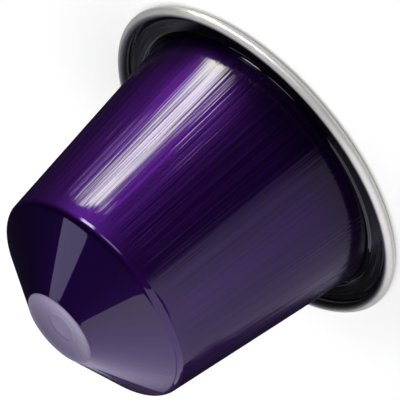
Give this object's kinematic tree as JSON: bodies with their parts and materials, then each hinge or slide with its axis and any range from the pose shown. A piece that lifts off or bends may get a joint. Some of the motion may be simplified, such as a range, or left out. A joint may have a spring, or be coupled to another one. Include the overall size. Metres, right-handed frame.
{
  "type": "coffee pod",
  "caption": "Sealed coffee pod with a tapered lacquered metal cup, a blunt cone nose, a rolled rim, a sealing ring and a foil lid.",
  "frame": {"origin": "centre of the lid's outer face, on the surface that the pod stands on", "axes": "+Z along the pod's axis from the lid to the nose, and the pod is the same all round it"},
  "size_m": [0.037, 0.037, 0.0281],
  "materials": {
    "purple_lacquer": "glossy translucent purple lacquer over drawn metal, with fine draw lines along the wall",
    "bare_aluminium": "satin bare aluminium",
    "black_seal": "smooth black sealing compound with fine round lines"
  },
  "bodies": {
    "root": {"cup": "purple_lacquer", "lid_foil": "bare_aluminium", "seal_ring": "black_seal"}
  },
  "joints": []
}
